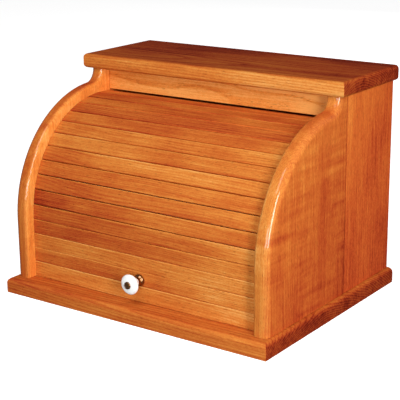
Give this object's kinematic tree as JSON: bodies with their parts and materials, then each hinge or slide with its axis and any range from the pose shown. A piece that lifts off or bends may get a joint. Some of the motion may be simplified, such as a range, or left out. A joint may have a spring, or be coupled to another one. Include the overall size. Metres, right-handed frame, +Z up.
{
  "type": "bread box with roll top",
  "caption": "Wooden bread box with quarter-round sides and a slatted roll-top door that slides up under a flat top board, with one round knob.",
  "frame": {"origin": "middle of the base's underside, halfway between the base's front and back edges", "axes": "+X to the box's right as seen from the front, -Y out of the front where the door is, +Z up"},
  "size_m": [0.386, 0.303, 0.281],
  "materials": {
    "base_oak": "satin orange-brown stained oak, warm red at the edges",
    "side_oak": "satin orange stained oak, upright grain",
    "top_oak": "satin red-brown stained oak",
    "rail_oak": "satin honey stained oak",
    "slat_oak": "satin honey-orange stained oak, each slat its own tone",
    "panel_wood": "stained plywood",
    "dowel_wood": "bare hardwood",
    "canvas": "plain-weave unbleached canvas",
    "porcelain": "glossy white glaze",
    "brass": "polished, slightly aged",
    "zinc_steel": "yellow-grey zinc plate"
  },
  "bodies": {
    "carcass": {"base_board": "base_oak", "side_left_front_board": "side_oak", "side_left_rear_board": "side_oak", "side_right_front_board": "side_oak", "side_right_rear_board": "side_oak", "top_board": "top_oak", "front_rail": "rail_oak", "back_panel": "panel_wood", "base_screw_1": "zinc_steel", "base_screw_2": "zinc_steel", "base_screw_3": "zinc_steel", "base_screw_4": "zinc_steel", "base_screw_5": "zinc_steel", "base_screw_6": "zinc_steel", "back_screw_1": "zinc_steel", "back_screw_2": "zinc_steel", "back_screw_3": "zinc_steel", "back_screw_4": "zinc_steel", "back_screw_5": "zinc_steel", "back_screw_6": "zinc_steel", "back_screw_7": "zinc_steel", "back_screw_8": "zinc_steel", "top_dowel_1": "dowel_wood", "top_dowel_2": "dowel_wood", "top_dowel_3": "dowel_wood", "top_dowel_4": "dowel_wood", "rail_dowel_1": "dowel_wood", "rail_dowel_2": "dowel_wood", "rail_dowel_3": "dowel_wood", "rail_dowel_4": "dowel_wood"},
    "tambour": {"tambour_slat_05": "slat_oak", "tambour_slat_06": "slat_oak", "tambour_slat_07": "slat_oak", "tambour_slat_08": "slat_oak", "tambour_slat_09": "slat_oak", "tambour_slat_10": "slat_oak", "tambour_slat_11": "slat_oak", "tambour_slat_12": "slat_oak", "tambour_slat_13": "slat_oak", "tambour_slat_14": "slat_oak", "tambour_slat_15": "slat_oak", "tambour_slat_16": "slat_oak", "tambour_slat_17": "slat_oak", "canvas_arc": "canvas"},
    "slat_4": {"tambour_slat_04": "slat_oak", "canvas_04": "canvas"},
    "slat_3": {"tambour_slat_03": "slat_oak", "canvas_03": "canvas"},
    "slat_2": {"tambour_slat_02": "slat_oak", "canvas_02": "canvas", "knob_ferrule": "brass", "knob_ceramic": "porcelain", "knob_screw": "brass", "knob_nut": "brass"},
    "slat_1": {"tambour_slat_01": "slat_oak", "canvas_01": "canvas"}
  },
  "joints": [
    {"name": "tambour_roll", "type": "hinge", "parent": "carcass", "child": "tambour", "pos_m": [0, 0.0114, 0.0968], "axis": [-1, 0, 0], "range_deg": [0, 105]},
    {"name": "fold_4", "type": "hinge", "parent": "tambour", "child": "slat_4", "pos_m": [0, -0.11837, 0.09408], "axis": [1, 0, 0], "range_deg": [0, 5.25]},
    {"name": "fold_3", "type": "hinge", "parent": "slat_4", "child": "slat_3", "pos_m": [0, -0.11837, 0.07578], "axis": [1, 0, 0], "range_deg": [0, 8.1]},
    {"name": "fold_2", "type": "hinge", "parent": "slat_3", "child": "slat_2", "pos_m": [0, -0.11837, 0.05748], "axis": [1, 0, 0], "range_deg": [0, 8.1]},
    {"name": "fold_1", "type": "hinge", "parent": "slat_2", "child": "slat_1", "pos_m": [0, -0.11837, 0.03918], "axis": [1, 0, 0], "range_deg": [0, 8.1]}
  ],
  "couplings": [
    {"joint": "fold_4", "follows": "tambour_roll", "ratio": 0.049927},
    {"joint": "fold_3", "follows": "tambour_roll", "ratio": 0.076996},
    {"joint": "fold_2", "follows": "tambour_roll", "ratio": 0.076996},
    {"joint": "fold_1", "follows": "tambour_roll", "ratio": 0.076996}
  ]
}
